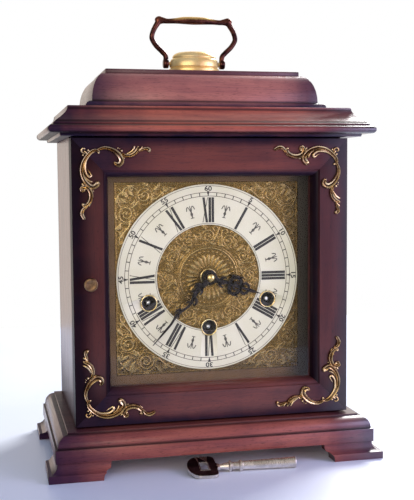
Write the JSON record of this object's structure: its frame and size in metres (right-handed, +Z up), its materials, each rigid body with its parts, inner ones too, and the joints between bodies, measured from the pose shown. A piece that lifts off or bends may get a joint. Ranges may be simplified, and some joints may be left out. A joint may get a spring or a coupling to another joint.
{
  "type": "bracket clock",
  "caption": "Mahogany bracket clock with stepped caddy top, folding carrying handle, glazed front door, embossed dial with winding holes, striking movement and loose winding key.",
  "frame": {"origin": "bottom centre of the whole set's box, key included, on the surface that the feet stand on", "axes": "+Z up, -Y towards the viewer, out of the dial, +X to the viewer's right"},
  "size_m": [0.2668, 0.1776, 0.3618],
  "materials": {
    "mahogany": "satin lacquered mahogany, shaded darker at the edges",
    "plain_wood": "unlacquered plywood",
    "glass": "clear flat glass",
    "antique_brass": "cast brass, darkened in the hollows",
    "polished_brass": "polished and lacquered brass",
    "embossed_brass": "embossed brass sheet, satin",
    "ivory_enamel": "printed ivory paint on metal",
    "blackened_steel": "black lacquered steel",
    "copper_bronze": "dark copper bronze, worn to brass on the grip",
    "movement_brass": "lacquered clock brass",
    "steel": "bright steel",
    "cast_iron": "grey painted iron",
    "nickel": "champagne nickel plate"
  },
  "bodies": {
    "case": {"foot_front_left": "mahogany", "foot_front_right": "mahogany", "foot_rear_left": "mahogany", "foot_rear_right": "mahogany", "base_plinth": "mahogany", "base_moulding": "mahogany", "side_left": "mahogany", "side_right": "mahogany", "cornice_moulding": "mahogany", "caddy_moulding": "mahogany", "top_board": "mahogany", "seat_board": "plain_wood", "dial_board": "plain_wood", "saddle_plate": "polished_brass", "lower_hinge_case_leaf": "polished_brass", "upper_hinge_case_leaf": "polished_brass", "ball_catch": "steel", "back_pivot_lower": "polished_brass", "back_pivot_upper": "polished_brass", "dial_plate": "embossed_brass", "chapter_ring": "ivory_enamel", "winding_bush_left": "polished_brass", "winding_bush_centre": "polished_brass", "winding_bush_right": "polished_brass", "centre_bush": "polished_brass", "movement_front_plate": "movement_brass", "movement_back_plate": "movement_brass", "balance_bridge": "movement_brass", "chime_rods": "cast_iron"},
    "front_door": {"door_stile_left": "mahogany", "door_stile_right": "mahogany", "door_rail_bottom": "mahogany", "door_rail_top": "mahogany", "door_glass": "glass", "glass_bead": "mahogany", "door_knob": "antique_brass", "corner_mount_top_left": "antique_brass", "corner_mount_top_right": "antique_brass", "corner_mount_bottom_left": "antique_brass", "corner_mount_bottom_right": "antique_brass", "lower_hinge_door_leaf": "polished_brass", "upper_hinge_door_leaf": "polished_brass"},
    "rear_door": {"back_door": "mahogany"},
    "carrying_handle": {"handle": "copper_bronze"},
    "minute_arbor": {"minute_hand": "blackened_steel", "hand_nut": "polished_brass", "centre_arbor": "movement_brass"},
    "hour_pipe": {"hour_hand": "blackened_steel", "hour_wheel": "movement_brass"},
    "minute_wheel_and_pinion": {"minute_wheel": "movement_brass"},
    "second_wheel_and_pinion": {"second_wheel": "movement_brass"},
    "time_barrel": {"going_barrel": "movement_brass"},
    "strike_drum": {"strike_barrel": "movement_brass"},
    "chime_drum": {"chime_barrel": "movement_brass"},
    "time_winding_square": {"going_winding_arbor": "steel"},
    "strike_winding_square": {"strike_winding_arbor": "steel"},
    "chime_winding_square": {"chime_winding_arbor": "steel"},
    "balance": {"balance_wheel": "polished_brass"},
    "hammers": {"chime_hammers": "steel"},
    "key": {"winding_key": "nickel"}
  },
  "joints": [
    {"name": "front_door_hinge", "type": "hinge", "parent": "case", "child": "front_door", "pos_m": [0.11315, -0.03447, 0.1468], "axis": [0, 0, 1], "range_deg": [0, 110]},
    {"name": "back_door_hinge", "type": "hinge", "parent": "case", "child": "rear_door", "pos_m": [0.09485, 0.08583, 0.1468], "axis": [0, 0, -1], "range_deg": [0, 100]},
    {"name": "handle_fold", "type": "hinge", "parent": "case", "child": "carrying_handle", "pos_m": [0, 0.01959, 0.3225], "axis": [1, 0, 0], "range_deg": [-98, 98]},
    {"name": "minute_hand_turn", "type": "hinge", "parent": "case", "child": "minute_arbor", "pos_m": [0, -0.02766, 0.1468], "axis": [0, 1, 0], "continuous": true},
    {"name": "hour_hand_turn", "type": "hinge", "parent": "case", "child": "hour_pipe", "pos_m": [0, -0.02766, 0.1468], "axis": [0, 1, 0], "continuous": true},
    {"name": "minute_wheel_turn", "type": "hinge", "parent": "case", "child": "minute_wheel_and_pinion", "pos_m": [0.0106, -0.02766, 0.1574], "axis": [0, 1, 0], "continuous": true},
    {"name": "second_wheel_turn", "type": "hinge", "parent": "case", "child": "second_wheel_and_pinion", "pos_m": [-0.014, -0.02766, 0.1268], "axis": [0, 1, 0], "continuous": true},
    {"name": "time_barrel_turn", "type": "hinge", "parent": "case", "child": "time_barrel", "pos_m": [0, -0.02766, 0.106], "axis": [0, 1, 0], "continuous": true},
    {"name": "strike_barrel_turn", "type": "hinge", "parent": "case", "child": "strike_drum", "pos_m": [-0.0492, -0.02766, 0.1273], "axis": [0, 1, 0], "continuous": true},
    {"name": "chime_barrel_turn", "type": "hinge", "parent": "case", "child": "chime_drum", "pos_m": [0.0492, -0.02766, 0.1273], "axis": [0, 1, 0], "continuous": true},
    {"name": "time_arbor_wind", "type": "hinge", "parent": "case", "child": "time_winding_square", "pos_m": [0, -0.02766, 0.106], "axis": [0, 1, 0], "continuous": true},
    {"name": "strike_arbor_wind", "type": "hinge", "parent": "case", "child": "strike_winding_square", "pos_m": [-0.0492, -0.02766, 0.1273], "axis": [0, 1, 0], "continuous": true},
    {"name": "chime_arbor_wind", "type": "hinge", "parent": "case", "child": "chime_winding_square", "pos_m": [0.0492, -0.02766, 0.1273], "axis": [0, 1, 0], "continuous": true},
    {"name": "balance_swing", "type": "hinge", "parent": "case", "child": "balance", "pos_m": [-0.03, 0.01459, 0.2048], "axis": [0, 0, 1], "range_deg": [-150, 150], "stiffness_Nm_per_rad": 0.0001},
    {"name": "hammer_lift", "type": "hinge", "parent": "case", "child": "hammers", "pos_m": [0, 0.05233, 0.12], "axis": [-1, 0, 0], "range_deg": [0, 8]},
    {"name": "key_draw_out", "type": "slide", "parent": "case", "child": "key", "axis": [0, -1, 0], "range_m": [0, 0.08]}
  ],
  "couplings": [
    {"joint": "hour_hand_turn", "follows": "minute_hand_turn", "ratio": 0.083333},
    {"joint": "minute_wheel_turn", "follows": "minute_hand_turn", "ratio": -0.33333},
    {"joint": "second_wheel_turn", "follows": "minute_hand_turn", "ratio": -0.25},
    {"joint": "time_barrel_turn", "follows": "minute_hand_turn", "ratio": 0.05}
  ]
}
